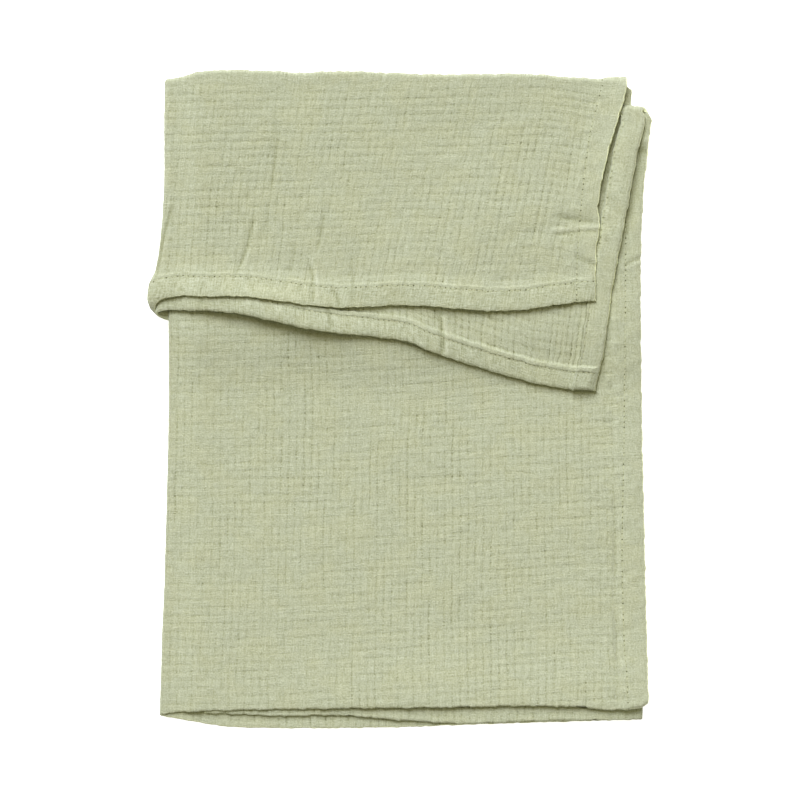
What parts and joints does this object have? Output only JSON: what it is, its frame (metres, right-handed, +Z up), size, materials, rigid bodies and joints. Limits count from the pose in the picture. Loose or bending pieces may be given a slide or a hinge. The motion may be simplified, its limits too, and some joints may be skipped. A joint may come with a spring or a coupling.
{
  "type": "folded crib sheet",
  "caption": "Folded crib sheet of crinkled gauze, hemmed all round, with its top turned down over the front as a flap and its sides folded in.",
  "frame": {"origin": "under the middle of the folded pile, on the surface that it lies on", "axes": "+X across the pile towards the free side edges, +Y from the bottom fold to the top fold, +Z up"},
  "size_m": [0.4324, 0.5668, 0.0176],
  "materials": {
    "gauze": "matt sage green cotton gauze with a fine crinkled check"
  },
  "bodies": {
    "root": {"sheet": "gauze"}
  },
  "joints": []
}
